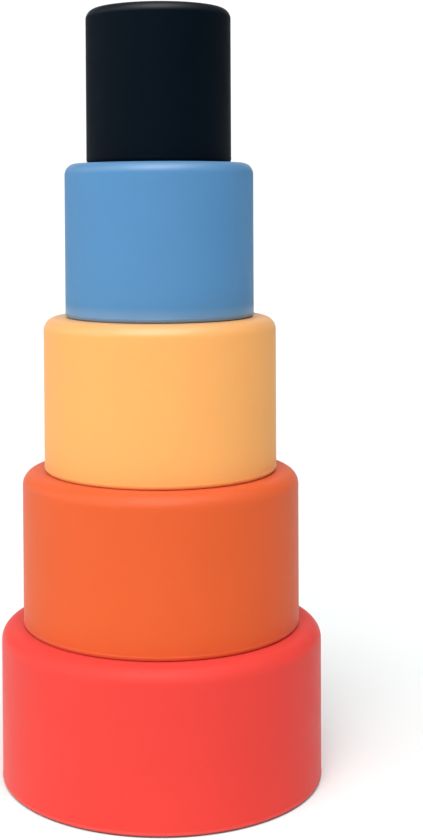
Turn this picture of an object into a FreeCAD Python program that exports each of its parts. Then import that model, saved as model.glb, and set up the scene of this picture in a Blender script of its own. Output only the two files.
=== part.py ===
"""Stacking cup tower: five plain round silicone cups, each turned upside down and stood on the one below.

Every cup is one moulding, with no joins and no fasteners: a straight round wall, a flat closed end with a
softly rounded edge, and an open rim that faces down. Outside, the rim is rounded under a fine raised line,
where the two halves of the mould met. Inside, the wall leans in by the mould core's draft and meets the
ceiling in a rounded corner.

All the cups are equally tall. Each is smaller than the last by one wall and one nesting clearance all
round, so that with the tower taken down they go inside one another.

Frame: millimetres, +Z up, origin in the middle of the bottom cup's rim, on the surface it stands on.
"""

import FreeCAD
import Part

import math
import os

# The set
CUPS = ("red_cup", "orange_cup", "yellow_cup", "blue_cup", "navy_cup")  # from the bottom of the tower up
biggest_diameter = 100.0    # outside the bottom cup's wall
cup_height = 47.8           # from the rim's land to the closed end, the same for every cup
wall = 2.5                  # side wall, measured at the rim
roof = 2.6                  # closed end
nest_clearance = 4.35       # air all round a cup that stands inside the next bigger one
stack_gap = 0.02            # air under each stacked rim, so that the resting faces share no volume

# The closed end's outer edge, which is rounder on the bigger cups
biggest_edge_round = 4.6
edge_round_step = 0.35      # how much smaller it is from one cup to the next

# The rim
rim_outer_round = 1.1
rim_inner_round = 0.7
mould_line_width = 0.36     # the raised line around the outside, just above the rim's rounding
mould_line_height = 0.12    # how far that line stands out from the wall

# The inside
core_draft_deg = 0.5        # lean of the inner wall, so that the cup comes off the mould's core
least_inner_round = 0.8     # the inner corner is never sharper than this

AXIS_FOOT = FreeCAD.Vector(0, 0, 0)
UP = FreeCAD.Vector(0, 0, 1)


def outer_radius(level):
    """Radius of a cup's outer wall. Level 0 is the bottom cup."""
    return biggest_diameter / 2 - level * (wall + nest_clearance)


def edge_round(level):
    """Radius of the rounding between a cup's wall and its closed end."""
    return biggest_edge_round - level * edge_round_step


def inner_round(level):
    """Radius of the corner between the inner wall and the ceiling, which follows the outer edge."""
    return max(edge_round(level) - wall, least_inner_round)


def rim_height(level):
    """Height of a cup's rim in the tower."""
    return level * (cup_height + stack_gap)


def at(radius, height):
    """A point of a cup's half section, which lies in the XZ plane."""
    return FreeCAD.Vector(radius, 0, height)


def quarter(centre_radius, centre_height, radius, start_deg, end_deg):
    """An arc of the half section about a centre, with its angles measured from +X towards +Z."""
    def on_arc(angle_deg):
        angle = math.radians(angle_deg)
        return at(centre_radius + radius * math.cos(angle), centre_height + radius * math.sin(angle))
    return Part.Arc(on_arc(start_deg), on_arc((start_deg + end_deg) / 2), on_arc(end_deg))


def half_section(level):
    """The closed outline of a cup's wall, rim and closed end on one side of its axis, rim at height 0."""
    outer = outer_radius(level)
    edge = edge_round(level)
    corner = inner_round(level)
    ceiling = cup_height - roof
    draft = math.radians(core_draft_deg)
    cavity = outer - wall                                # at the rim

    # The inner wall is a straight line that leans in by the draft. The corner touches it and the ceiling,
    # and the rim's inner rounding touches it and the land.
    def inner_wall_at(height):
        return cavity - height * math.tan(draft)

    corner_height = ceiling - corner
    corner_radius = inner_wall_at(corner_height) - corner / math.cos(draft)
    rim_radius = inner_wall_at(rim_inner_round) + rim_inner_round / math.cos(draft)

    line_foot = rim_outer_round
    line_top = line_foot + mould_line_width
    outside = [
        quarter(outer - rim_outer_round, rim_outer_round, rim_outer_round, -90, 0),
        Part.Arc(at(outer, line_foot), at(outer + mould_line_height, (line_foot + line_top) / 2),
                 at(outer, line_top)),
        Part.LineSegment(at(outer, line_top), at(outer, cup_height - edge)),
        quarter(outer - edge, cup_height - edge, edge, 0, 90),
        Part.LineSegment(at(outer - edge, cup_height), at(0, cup_height)),
    ]
    axis = Part.LineSegment(at(0, cup_height), at(0, ceiling))
    inner_corner = quarter(corner_radius, corner_height, corner, 90, core_draft_deg)
    inner_rim = quarter(rim_radius, rim_inner_round, rim_inner_round, 180 + core_draft_deg, 270)
    inside = [
        Part.LineSegment(at(0, ceiling), inner_corner.StartPoint),
        inner_corner,
        Part.LineSegment(inner_corner.EndPoint, inner_rim.StartPoint),
        inner_rim,
    ]
    land = Part.LineSegment(inner_rim.EndPoint, outside[0].StartPoint)
    return [*outside, axis, *inside, land]


def make_cup(level):
    """One cup, upside down, at its place in the tower."""
    outline = Part.Wire([piece.toShape() for piece in half_section(level)])
    cup = Part.Face(outline).revolve(AXIS_FOOT, UP, 360)
    cup.translate(UP * rim_height(level))
    return cup


def main():
    """Writes one STEP file for each cup."""
    os.makedirs("parts", exist_ok=True)
    for level, name in enumerate(CUPS):
        cup = make_cup(level)
        cup.exportStep(os.path.join("parts", name + ".step"))
        box = cup.BoundBox
        seat = outer_radius(level) - edge_round(level)
        print(f"{name}: diameter {2 * outer_radius(level):.2f}, z {box.ZMin:.2f} to {box.ZMax:.2f}, "
              f"flat top radius {seat:.2f}, volume {cup.Volume / 1000:.2f} cm3, valid {cup.isValid()}, "
              f"{cup.ShapeType}")


main()
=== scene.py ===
"""Looks of a stacking cup tower: five matte silicone cups, upside down, one on top of another.

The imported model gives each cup's place, diameter and height. Every cup is made again here as a finely
divided turned mesh, by one Geometry Nodes tree that holds the rule of its half section, and is dressed
in its own colour of moulded silicone. It stands in a white studio. Lengths are in metres, +Z is up and
the tower stands at the origin.
"""

import logging
import math
from dataclasses import dataclass, field
from enum import Enum

import bpy
from mathutils import Matrix, Vector


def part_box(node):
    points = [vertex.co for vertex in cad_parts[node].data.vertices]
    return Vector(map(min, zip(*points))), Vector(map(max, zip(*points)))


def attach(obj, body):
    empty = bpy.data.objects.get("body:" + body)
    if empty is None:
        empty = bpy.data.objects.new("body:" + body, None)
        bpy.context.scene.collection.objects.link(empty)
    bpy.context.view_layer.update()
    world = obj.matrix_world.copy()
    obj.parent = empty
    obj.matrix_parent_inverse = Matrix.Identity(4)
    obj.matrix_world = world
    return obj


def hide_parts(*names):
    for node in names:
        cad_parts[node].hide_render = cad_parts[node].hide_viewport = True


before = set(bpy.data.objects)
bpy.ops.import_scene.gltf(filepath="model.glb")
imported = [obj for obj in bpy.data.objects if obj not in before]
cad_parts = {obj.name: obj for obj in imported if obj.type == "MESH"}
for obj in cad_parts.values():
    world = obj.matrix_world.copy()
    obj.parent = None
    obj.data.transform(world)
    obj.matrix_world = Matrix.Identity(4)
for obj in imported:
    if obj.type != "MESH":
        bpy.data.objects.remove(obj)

log = logging.getLogger("cup_tower")

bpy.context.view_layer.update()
MM = 0.001

# A Mix node has sockets for numbers, vectors and colours. These are the ones that it uses for colours.
MIX_FACTOR, MIX_A, MIX_B, MIX_RESULT = 0, 6, 7, 2
# Nearly all of a noise texture's values lie between these.
NOISE_LOW, NOISE_HIGH = 0.3, 0.7


def linear(hex_colour: str, share: float = 1.0) -> tuple[float, float, float, float]:
    """Turns an sRGB hex colour into linear RGBA.

    Args:
        hex_colour: a hash and six hex digits.
        share: what the linear red, green and blue are multiplied by.

    Returns:
        Linear red, green and blue, and an alpha of 1.
    """
    channels = [int(hex_colour[i:i + 2], 16) / 255 for i in (1, 3, 5)]
    red, green, blue = (c / 12.92 if c <= 0.04045 else ((c + 0.055) / 1.055) ** 2.4 for c in channels)
    return red * share, green * share, blue * share, 1.0


def towards(azimuth: float, elevation: float) -> Vector:
    """Gives the direction from the tower to something around it.

    Args:
        azimuth: degrees round the tower, 0 in front of it (-Y) and 90 on its right (+X).
        elevation: degrees above the floor.

    Returns:
        A vector of length 1.
    """
    turn, rise = math.radians(azimuth), math.radians(elevation)
    return Vector((math.sin(turn) * math.cos(rise), -math.cos(turn) * math.cos(rise), math.sin(rise)))


def add_node(tree: bpy.types.NodeTree, kind: str, inputs: dict | None = None,
             **settings) -> bpy.types.Node:
    """Adds a node to a tree, with its settings and its links.

    Args:
        tree: the geometry or shader tree that gets the node.
        kind: the node's type name.
        inputs: for each input socket, by name or number, its value or the output socket that feeds it.
        settings: the node's own properties.

    Returns:
        The new node.
    """
    node = tree.nodes.new(kind)
    for name, value in settings.items():
        setattr(node, name, value)
    for key, value in (inputs or {}).items():
        if isinstance(value, bpy.types.NodeSocket):
            tree.links.new(value, node.inputs[key])
        else:
            node.inputs[key].default_value = value
    return node


# ---- Finishes ----

@dataclass(frozen=True)
class Silicone:
    """Silicone rubber, press moulded in a bead-blasted steel mould and left uncoated.

    The blasted mould leaves a fine even grain that breaks up every reflection, so the surface is matte
    and a little powdery, and turns pale where it is seen edge on. The pigment is mixed in before the
    rubber cures, so the colour is even right through, with only a faint clouding. A little light enters
    the rubber and softens the shading of its edges. Hands and the other cups rub the closed end and the
    rim first, which makes them a touch smoother than the wall. The bottom cup's rim is darkened towards
    its foot with painted contact shadow, where it stands on the floor.
    """

    name: str
    pigment: str                      # sRGB hex
    gloss: float                      # specular level: 0.5 would be silicone without the grain
    polish: float                     # how far the closed end and its rounded edge are rubbed
    sheen: float                      # the powdery grain's paleness, edge on
    rim_polish: float = 0.0           # how far the rim's outer edge is rubbed
    rim_rub: float = 0.36 * MM        # how far up the wall the rim's rubbing fades out
    rim_contact_shade: float = 0.0            # how dark the painted contact shadow on the rim's foot is
    # the colour of the painted contact shadow on the rim's foot
    contact_shade_colour: str = "#35110F"
    ior: float = 1.41                 # silicone rubber
    roughness: float = 0.55
    roughness_swing: float = 0.05     # how far the grain's density moves the roughness each way
    sheen_roughness: float = 0.4
    polish_roughness: float = 0.5
    polish_ior: float = 1.8           # above silicone's, as the rubbed edges shine more than a skin of it
    depth: float = 0.2                # share of the light that comes out again from inside the rubber
    depth_reach: float = 1.0 * MM
    cloud_size: float = 16 * MM       # width of a cloud in the pigment
    cloud_detail: float = 3.0
    cloud_contrast: float = 0.03
    patch_size: float = 7 * MM        # width of a patch where the grain is denser
    patch_detail: float = 4.0
    grain_size: float = 0.6 * MM      # the real grain is about 0.05 mm, drawn coarser so that it shows
    grain_detail: float = 2.0
    grain_height: float = 0.003 * MM

    def build(self, edge: tuple[float, float], rim: float,
              foot: tuple[float, float]) -> bpy.types.Material:
        """Makes the material for one cup.

        Args:
            edge: the heights where the rubbing of the closed end's edge starts and where it is full.
            rim: the height of the mould line's top, below which the rim is rubbed evenly.
            foot: the heights where the painted contact shadow on the rim's foot starts and where it is
                full.

        Returns:
            The material, which reads Object coordinates.
        """
        material = bpy.data.materials.new(self.name)
        material.use_nodes = True
        tree = material.node_tree
        tree.nodes.clear()
        place = add_node(tree, "ShaderNodeTexCoord").outputs["Object"]

        clouds = add_node(tree, "ShaderNodeTexNoise", {
            "Vector": place, "Scale": 1 / self.cloud_size, "Detail": self.cloud_detail})
        colour = add_node(tree, "ShaderNodeMix", {
            MIX_FACTOR: clouds.outputs["Fac"],
            MIX_A: linear(self.pigment, 1 - self.cloud_contrast),
            MIX_B: linear(self.pigment, 1 + self.cloud_contrast)}, data_type="RGBA")

        patches = add_node(tree, "ShaderNodeTexNoise", {
            "Vector": place, "Scale": 1 / self.patch_size, "Detail": self.patch_detail})
        roughness = add_node(tree, "ShaderNodeMapRange", {
            "Value": patches.outputs["Fac"], "From Min": NOISE_LOW, "From Max": NOISE_HIGH,
            "To Min": self.roughness - self.roughness_swing,
            "To Max": self.roughness + self.roughness_swing})

        height = add_node(tree, "ShaderNodeSeparateXYZ", {0: place}).outputs["Z"]
        edge_polish = add_node(tree, "ShaderNodeMapRange", {
            "Value": height, "From Min": edge[0], "From Max": edge[1], "To Max": self.polish},
            interpolation_type="SMOOTHSTEP")
        rim_polish = add_node(tree, "ShaderNodeMapRange", {
            "Value": height, "From Min": rim + self.rim_rub, "From Max": rim,
            "To Max": self.rim_polish},
            interpolation_type="SMOOTHSTEP")
        polish = add_node(tree, "ShaderNodeMath", {
            0: edge_polish.outputs[0], 1: rim_polish.outputs[0]}, operation="MAXIMUM")
        # Painted contact shadow: the base colour is darkened towards the bottom of the rim's foot.
        contact_shade_mask = add_node(tree, "ShaderNodeMapRange", {
            "Value": height, "From Min": foot[0], "From Max": foot[1], "To Max": self.rim_contact_shade},
            interpolation_type="SMOOTHSTEP")
        contact_shaded_colour = add_node(tree, "ShaderNodeMix", {
            MIX_FACTOR: contact_shade_mask.outputs[0],
            MIX_A: colour.outputs[MIX_RESULT],
            MIX_B: linear(self.contact_shade_colour)}, data_type="RGBA")

        grain = add_node(tree, "ShaderNodeTexNoise", {
            "Vector": place, "Scale": 1 / self.grain_size, "Detail": self.grain_detail})
        bump = add_node(tree, "ShaderNodeBump", {
            "Strength": 1.0, "Distance": self.grain_height, "Height": grain.outputs["Fac"]})

        shader = add_node(tree, "ShaderNodeBsdfPrincipled", {
            "Base Color": contact_shaded_colour.outputs[MIX_RESULT],
            "Roughness": roughness.outputs[0], "Normal": bump.outputs[0],
            "IOR": self.ior, "Specular IOR Level": self.gloss, "Coat Weight": polish.outputs[0],
            "Coat Roughness": self.polish_roughness, "Coat IOR": self.polish_ior,
            "Sheen Weight": self.sheen, "Sheen Roughness": self.sheen_roughness,
            "Subsurface Weight": self.depth, "Subsurface Radius": linear(self.pigment)[:3],
            "Subsurface Scale": self.depth_reach})
        add_node(tree, "ShaderNodeOutputMaterial", {"Surface": shader.outputs[0]})
        return material


class Colour(Enum):
    """The five colours of the set. Each name is also the start of its CAD node's and its slot's name."""

    # The red cup stands on the floor, so its rim's foot gets painted contact shadow.
    RED = Silicone("red_moulded_silicone", "#DE4139", gloss=0.13, polish=0.08, sheen=0.09,
                   rim_polish=0.3, rim_contact_shade=0.9)
    ORANGE = Silicone("orange_moulded_silicone", "#D85C2E", gloss=0.12, polish=0.20, sheen=0.09,
                      rim_polish=0.3)
    YELLOW = Silicone("yellow_moulded_silicone", "#EFAA63", gloss=0.05, polish=0.90, sheen=0.08,
                      rim_polish=0.15)
    BLUE = Silicone("blue_moulded_silicone", "#5185B2", gloss=0.19, polish=0.85, sheen=0.02,
                    rim_polish=1.0, rim_rub=3.5 * MM)
    NAVY = Silicone("navy_moulded_silicone", "#020C16", gloss=0.06, polish=0.34, sheen=0.01)

    @property
    def node(self) -> str:
        """The CAD node, which is also the body, of the cup in this colour."""
        return f"{self.name.lower()}_cup"

    @property
    def slot(self) -> str:
        """The record's material slot of the cup in this colour."""
        return f"{self.name.lower()}_silicone"


# ---- The cups ----

class CupTree:
    """The Geometry Nodes tree that turns a cup's half section about its axis.

    The half section is a line through nine corners, rounded where the cup is round, and then divided so
    that no stretch is long. It is drawn with its depth below the closed end along Y, because turning a
    profile about a ring sends its Y down the axis.
    """

    HUB = 0.1 * MM                   # radius of the ring that the half section is turned on
    MERGE = 0.001 * MM               # points nearer than this become one, which closes the poles

    def __init__(self) -> None:
        """Builds the tree."""
        self.group = bpy.data.node_groups.new("turned_cup", "GeometryNodeTree")
        self.sockets: dict[str, str] = {}
        lengths = ("Outer Radius", "Height", "Rim Level", "Wall", "Roof", "Core Lean", "Edge Round",
                   "Corner Round", "Rim Outer Round", "Rim Inner Round", "Line Level", "Line Width",
                   "Line Reach", "Line Round", "Line Foot Round", "Longest Step")
        for name in lengths:
            self._declare(name, "NodeSocketFloat")
        for name in ("Steps Around", "Steps Per Round"):
            self._declare(name, "NodeSocketInt")
        self._declare("Material", "NodeSocketMaterial")
        self.group.interface.new_socket("Mesh", in_out="OUTPUT", socket_type="NodeSocketGeometry")
        self.given = add_node(self.group, "NodeGroupInput").outputs
        cup = self._turn(self._divide(self._half_section()))
        add_node(self.group, "NodeGroupOutput", {0: cup})

    def _declare(self, name: str, kind: str) -> None:
        """Adds a named input and keeps its identifier."""
        socket = self.group.interface.new_socket(name, in_out="INPUT", socket_type=kind)
        self.sockets[name] = socket.identifier

    def _corners(self) -> list[tuple]:
        """Lists the half section's corners.

        Returns:
            For each corner, its radius, its depth below the closed end and how much it is rounded.
        """
        given, tree = self.given, self.group

        outer, rim = given["Outer Radius"], given["Height"]
        line_foot = add_node(tree, "ShaderNodeMath", {
            0: rim, 1: given["Line Level"]}, operation="SUBTRACT").outputs[0]
        line_top = add_node(tree, "ShaderNodeMath", {
            0: line_foot, 1: given["Line Width"]}, operation="SUBTRACT").outputs[0]
        line_middle = add_node(tree, "ShaderNodeMath", {
            0: given["Line Width"], 1: 0.5, 2: line_top}, operation="MULTIPLY_ADD").outputs[0]
        line_corner = add_node(tree, "ShaderNodeMath", {
            0: outer, 1: given["Line Reach"]}, operation="ADD").outputs[0]
        cavity = add_node(tree, "ShaderNodeMath", {
            0: outer, 1: given["Wall"]}, operation="SUBTRACT").outputs[0]
        cavity_depth = add_node(tree, "ShaderNodeMath", {
            0: rim, 1: given["Roof"]}, operation="SUBTRACT").outputs[0]
        lean = add_node(tree, "ShaderNodeMath", {
            0: cavity_depth, 1: given["Core Lean"]}, operation="MULTIPLY").outputs[0]
        cavity_end = add_node(tree, "ShaderNodeMath", {
            0: cavity, 1: lean}, operation="SUBTRACT").outputs[0]
        return [(0.0, 0.0, 0.0),
                (outer, 0.0, given["Edge Round"]),
                (outer, line_top, given["Line Foot Round"]),
                (line_corner, line_middle, given["Line Round"]),
                (outer, line_foot, given["Line Foot Round"]),
                (outer, rim, given["Rim Outer Round"]),
                (cavity, rim, given["Rim Inner Round"]),
                (cavity_end, given["Roof"], given["Corner Round"]),
                (0.0, given["Roof"], 0.0)]

    def _half_section(self) -> bpy.types.NodeSocket:
        """Draws the rounded half section.

        Returns:
            The half section, as a curve.
        """
        tree, corners = self.group, self._corners()
        index = add_node(tree, "GeometryNodeInputIndex").outputs[0]
        place = add_node(tree, "GeometryNodeIndexSwitch", {"Index": index}, data_type="VECTOR")
        rounding = add_node(tree, "GeometryNodeIndexSwitch", {"Index": index}, data_type="FLOAT")
        for switch in (place, rounding):
            while len(switch.index_switch_items) < len(corners):
                switch.index_switch_items.new()
        for number, (radius, depth, round_off) in enumerate(corners):
            point = add_node(tree, "ShaderNodeCombineXYZ", {"X": radius, "Y": depth})
            tree.links.new(point.outputs[0], place.inputs[number + 1])
            if isinstance(round_off, bpy.types.NodeSocket):
                tree.links.new(round_off, rounding.inputs[number + 1])
        row = add_node(tree, "GeometryNodeMeshLine", {"Count": len(corners)})
        line = add_node(tree, "GeometryNodeMeshToCurve", {0: row.outputs[0]})
        placed = add_node(tree, "GeometryNodeSetPosition", {
            "Geometry": line.outputs[0], "Position": place.outputs[0], "Offset": (-self.HUB, 0.0, 0.0)})
        return add_node(tree, "GeometryNodeFilletCurve", {
            "Curve": placed.outputs[0], "Count": self.given["Steps Per Round"],
            "Radius": rounding.outputs[0], "Limit Radius": True}, mode="POLY").outputs[0]

    def _divide(self, curve: bpy.types.NodeSocket) -> bpy.types.NodeSocket:
        """Divides the straight stretches into steps no longer than the longest allowed.

        Args:
            curve: the half section.

        Returns:
            The divided curve.
        """
        tree = self.group
        here = add_node(tree, "GeometryNodeInputPosition").outputs[0]
        index = add_node(tree, "GeometryNodeInputIndex").outputs[0]
        following = add_node(tree, "ShaderNodeMath", {0: index, 1: 1.0}, operation="ADD").outputs[0]
        there = add_node(tree, "GeometryNodeFieldAtIndex", {"Value": here, "Index": following},
                         data_type="FLOAT_VECTOR").outputs[0]
        length = add_node(tree, "ShaderNodeVectorMath", {0: here, 1: there}, operation="DISTANCE")
        steps = add_node(tree, "ShaderNodeMath", {
            0: length.outputs["Value"], 1: self.given["Longest Step"]}, operation="DIVIDE").outputs[0]
        cuts = add_node(tree, "ShaderNodeMath", {0: steps}, operation="FLOOR").outputs[0]
        return add_node(tree, "GeometryNodeSubdivideCurve", {"Curve": curve, "Cuts": cuts}).outputs[0]

    def _turn(self, curve: bpy.types.NodeSocket) -> bpy.types.NodeSocket:
        """Turns the half section about the axis, lifts the cup to its level and gives it its material.

        Args:
            curve: the divided half section.

        Returns:
            The finished mesh.
        """
        tree, given = self.group, self.given
        ring = add_node(tree, "GeometryNodeCurvePrimitiveCircle", {
            "Resolution": given["Steps Around"], "Radius": self.HUB})
        turned = add_node(tree, "GeometryNodeCurveToMesh", {
            "Curve": ring.outputs[0], "Profile Curve": curve})
        closed = add_node(tree, "GeometryNodeMergeByDistance", {
            "Geometry": turned.outputs[0], "Distance": self.MERGE})
        smooth = add_node(tree, "GeometryNodeSetShadeSmooth", {"Geometry": closed.outputs[0]})
        level = add_node(tree, "ShaderNodeMath", {
            0: given["Rim Level"], 1: given["Height"]}, operation="ADD")
        lift = add_node(tree, "ShaderNodeCombineXYZ", {"Z": level.outputs[0]})
        lifted = add_node(tree, "GeometryNodeTransform", {
            "Geometry": smooth.outputs[0], "Translation": lift.outputs[0]})
        whole = add_node(tree, "GeometryNodeRealizeInstances", {"Geometry": lifted.outputs[0]})
        return add_node(tree, "GeometryNodeSetMaterial", {
            "Geometry": whole.outputs[0], "Material": given["Material"]}).outputs[0]


@dataclass
class Cup:
    """One cup, upside down at its place in the tower. Its main measures come from its CAD node's box."""

    colour: Colour
    level: int                          # 0 is the bottom cup
    wall: float = 2.5 * MM
    roof: float = 2.6 * MM
    core_draft: float = 0.5             # degrees that the inner wall leans in
    biggest_edge_round: float = 4.6 * MM
    edge_round_step: float = 0.35 * MM
    least_corner_round: float = 0.8 * MM
    rim_outer_round: float = 1.1 * MM
    rim_inner_round: float = 0.7 * MM
    line_width: float = 0.36 * MM       # the raised line that the mould's parting leaves above the rim
    line_height: float = 0.07 * MM
    line_allowance: float = 0.12 * MM   # how far the CAD node's box stands out from the wall for the line
    line_foot_round: float = 0.05 * MM  # where the line meets the wall, so that both keep their shading
    foot_height: float = 0.85 * MM      # how far up the painted contact shadow on the rim reaches
    steps_around: int = 256
    steps_per_round: int = 20
    longest_step: float = 1.6 * MM
    outer_radius: float = field(init=False)
    rim_level: float = field(init=False)
    height: float = field(init=False)
    edge_round: float = field(init=False)

    def __post_init__(self) -> None:
        """Reads the cup's box."""
        low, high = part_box(self.colour.node)
        self.outer_radius = (high.y - low.y) / 2 - self.line_allowance
        self.rim_level, self.height = low.z, high.z - low.z
        self.edge_round = self.biggest_edge_round - self.level * self.edge_round_step

    def sizes(self) -> dict[str, float | int]:
        """Gives the tree's inputs for this cup.

        Returns:
            Each input's value by its name.
        """
        half_line = self.line_width / 2
        steepness = self.line_height / half_line       # tangent of half the angle at which the line rises
        foot_reach = self.line_foot_round * steepness
        both_rounds = (half_line ** 2 + self.line_height ** 2) / (2 * self.line_height)
        return {
            "Outer Radius": self.outer_radius, "Height": self.height, "Rim Level": self.rim_level,
            "Wall": self.wall, "Roof": self.roof, "Core Lean": math.tan(math.radians(self.core_draft)),
            "Edge Round": self.edge_round,
            "Corner Round": max(self.edge_round - self.wall, self.least_corner_round),
            "Rim Outer Round": self.rim_outer_round, "Rim Inner Round": self.rim_inner_round,
            "Line Level": self.rim_outer_round + foot_reach,
            "Line Width": self.line_width - 2 * foot_reach,
            "Line Reach": (half_line - foot_reach) * 2 * steepness / (1 - steepness ** 2),
            "Line Round": both_rounds - self.line_foot_round, "Line Foot Round": self.line_foot_round,
            "Longest Step": self.longest_step,
            "Steps Around": self.steps_around, "Steps Per Round": self.steps_per_round}

    def dress(self) -> bpy.types.Material:
        """Makes the cup's silicone, rubbed and darkened with painted contact shadow at the rim's foot, at
        this cup's own heights.

        Returns:
            The material.
        """
        top = self.rim_level + self.height
        return self.colour.value.build(
            edge=(top - self.edge_round, top - self.edge_round / 2),
            rim=self.rim_level + self.rim_outer_round + self.line_width,
            foot=(self.rim_level + self.foot_height, self.rim_level + self.foot_height / 2))

    def build(self, tree: CupTree) -> bpy.types.Object:
        """Makes the cup's mesh, dresses it and puts it in the place of its CAD node.

        Args:
            tree: the tree that holds the rule of a cup's shape.

        Returns:
            The finished piece.
        """
        name = f"{self.colour.name.lower()}_silicone_cup"
        piece = bpy.data.objects.new(name, bpy.data.meshes.new(name))
        bpy.context.scene.collection.objects.link(piece)
        modifier = piece.modifiers.new("turned_cup", "NODES")
        modifier.node_group = tree.group
        for size, value in self.sizes().items():
            modifier[tree.sockets[size]] = value
        modifier[tree.sockets["Material"]] = self.dress()
        evaluated = piece.evaluated_get(bpy.context.evaluated_depsgraph_get())
        piece.data = bpy.data.meshes.new_from_object(evaluated)
        piece.modifiers.clear()

        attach(piece, self.colour.node)
        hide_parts(self.colour.node)
        log.info("%s: %.2f mm across, %.2f mm tall, rim at %.2f mm, %d faces",
                 name, self.outer_radius * 2 / MM, self.height / MM, self.rim_level / MM,
                 len(piece.data.polygons))
        return piece


@dataclass
class Tower:
    """The whole set, from the bottom cup up."""

    order: tuple[Colour, ...] = (Colour.RED, Colour.ORANGE, Colour.YELLOW, Colour.BLUE, Colour.NAVY)

    def build(self) -> list[bpy.types.Object]:
        """Makes every cup, and returns the pieces."""
        tree = CupTree()
        return [Cup(colour, level).build(tree) for level, colour in enumerate(self.order)]


# ---- The studio ----

@dataclass(frozen=True)
class Softbox:
    """A far and very wide soft light, so that it lights every cup and the whole floor alike."""

    name: str
    azimuth: float                  # degrees, 0 in front of the tower and 90 on its right
    elevation: float
    spread: float                   # degrees that its face takes up, seen from the tower
    power: float                    # irradiance in W/m2 of a face that looks straight at it

    def build(self) -> bpy.types.Object:
        """Makes the light.

        Returns:
            The light's object.
        """
        lamp = bpy.data.lights.new(self.name, "SUN")
        lamp.angle = math.radians(self.spread)
        lamp.energy = self.power
        light = bpy.data.objects.new(self.name, lamp)
        light.rotation_mode = "QUATERNION"
        light.rotation_quaternion = (-towards(self.azimuth, self.elevation)).to_track_quat("-Z", "Y")
        bpy.context.scene.collection.objects.link(light)
        log.info("%s: azimuth %.0f, elevation %.0f", self.name, self.azimuth, self.elevation)
        return light


@dataclass(frozen=True)
class WhitePaper:
    """Uncoated white background paper: soft matte fibres, with no shine and only a trace of mottling."""

    name: str = "white_matte_paper"
    shade: str = "#F4F8F8"
    gloss: float = 0.2              # specular level
    roughness: float = 0.9
    fibre_size: float = 3 * MM
    fibre_contrast: float = 0.01

    def build(self) -> bpy.types.Material:
        """Makes the paper's material.

        Returns:
            The material, which reads Object coordinates.
        """
        material = bpy.data.materials.new(self.name)
        material.use_nodes = True
        tree = material.node_tree
        tree.nodes.clear()
        place = add_node(tree, "ShaderNodeTexCoord").outputs["Object"]
        fibres = add_node(tree, "ShaderNodeTexNoise", {"Vector": place, "Scale": 1 / self.fibre_size})
        colour = add_node(tree, "ShaderNodeMix", {
            MIX_FACTOR: fibres.outputs["Fac"],
            MIX_A: linear(self.shade, 1 - self.fibre_contrast),
            MIX_B: linear(self.shade)}, data_type="RGBA")
        shader = add_node(tree, "ShaderNodeBsdfPrincipled", {
            "Base Color": colour.outputs[MIX_RESULT], "Roughness": self.roughness,
            "Specular IOR Level": self.gloss})
        add_node(tree, "ShaderNodeOutputMaterial", {"Surface": shader.outputs[0]})
        return material


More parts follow.
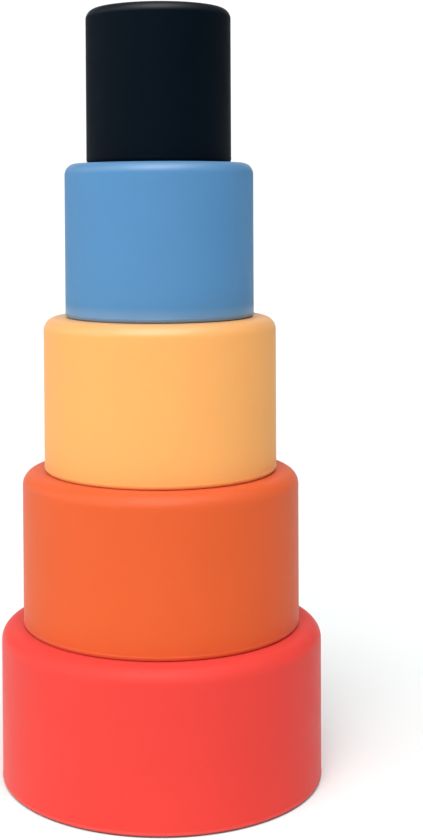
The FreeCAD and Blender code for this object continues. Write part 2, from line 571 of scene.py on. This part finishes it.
@dataclass
class Studio:
    """The plain floor, the soft lights and the camera."""

    floor_size: float = 40.0
    surround: float = 1.05          # brightness of the white behind the floor, which lights nothing
    softboxes: tuple[Softbox, ...] = (
        Softbox("front_low_softbox", azimuth=0, elevation=35, spread=45, power=0.37),
        Softbox("front_softbox", azimuth=0, elevation=55, spread=45, power=1.47),
        Softbox("front_high_softbox", azimuth=0, elevation=72, spread=50, power=0.85),
        Softbox("key_softbox", azimuth=-30, elevation=45, spread=50, power=0.90),
        Softbox("left_front_softbox", azimuth=-60, elevation=15, spread=45, power=0.63),
        Softbox("left_softbox", azimuth=-100, elevation=15, spread=50, power=0.57),
        Softbox("right_high_softbox", azimuth=60, elevation=72, spread=50, power=0.41),
        Softbox("right_softbox", azimuth=95, elevation=20, spread=60, power=0.08),
        Softbox("back_softbox", azimuth=180, elevation=15, spread=60, power=0.59),
    )
    sensor: float = 36.0            # mm, the long side
    lens: float = 61.32             # mm
    clip: tuple[float, float] = (0.01, 100.0)
    camera_distance: float = 0.4477
    camera_height: float = 0.1790
    camera_tilt: float = 1.644      # degrees down
    camera_roll: float = -0.327     # degrees
    shift: tuple[float, float] = (0.0622, -0.2099)

    def build_floor(self) -> bpy.types.Object:
        """Lays the floor under the tower.

        Returns:
            The floor's object.
        """
        half = self.floor_size / 2
        mesh = bpy.data.meshes.new("floor")
        corners = [(-half, -half, 0), (half, -half, 0), (half, half, 0), (-half, half, 0)]
        mesh.from_pydata(corners, [], [(0, 1, 2, 3)])
        mesh.materials.append(WhitePaper().build())
        floor = bpy.data.objects.new("floor", mesh)
        bpy.context.scene.collection.objects.link(floor)
        return floor

    def build_surround(self) -> None:
        """Makes the white surround, which shows behind the floor and lights nothing."""
        world = bpy.data.worlds.new("white_surround")
        world.use_nodes = True
        tree = world.node_tree
        tree.nodes.clear()
        seen = add_node(tree, "ShaderNodeLightPath").outputs["Is Camera Ray"]
        strength = add_node(tree, "ShaderNodeMath", {0: seen, 1: self.surround}, operation="MULTIPLY")
        white = add_node(tree, "ShaderNodeBackground", {
            "Color": (1.0, 1.0, 1.0, 1.0), "Strength": strength.outputs[0]})
        add_node(tree, "ShaderNodeOutputWorld", {"Surface": white.outputs[0]})
        bpy.context.scene.world = world

    def build_camera(self) -> None:
        """Stands the camera in front of the tower, level with its upper part."""
        data = bpy.data.cameras.new("camera")
        data.sensor_width = self.sensor
        data.lens = self.lens
        data.shift_x, data.shift_y = self.shift
        data.clip_start, data.clip_end = self.clip
        camera = bpy.data.objects.new("camera", data)
        camera.location = (0, -self.camera_distance, self.camera_height)
        aim = (-towards(0, self.camera_tilt)).to_track_quat("-Z", "Y").to_matrix()
        roll = Matrix.Rotation(math.radians(self.camera_roll), 3, "Z")
        camera.rotation_euler = (aim @ roll).to_euler()
        bpy.context.scene.collection.objects.link(camera)
        bpy.context.scene.camera = camera

    def build(self) -> None:
        """Makes the whole studio."""
        self.build_floor()
        self.build_surround()
        for softbox in self.softboxes:
            softbox.build()
        self.build_camera()
        view = bpy.context.scene.view_settings
        view.view_transform = "Standard"
        view.look = "None"


def main() -> None:
    """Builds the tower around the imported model, and the studio around the tower."""
    logging.basicConfig(level=logging.INFO, format="%(name)s: %(message)s")
    log.info("the packed model has %d nodes", len(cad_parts))
    pieces = Tower().build()
    log.info("the tower has %d pieces", len(pieces))
    Studio().build()


if __name__ == "__main__":
    main()
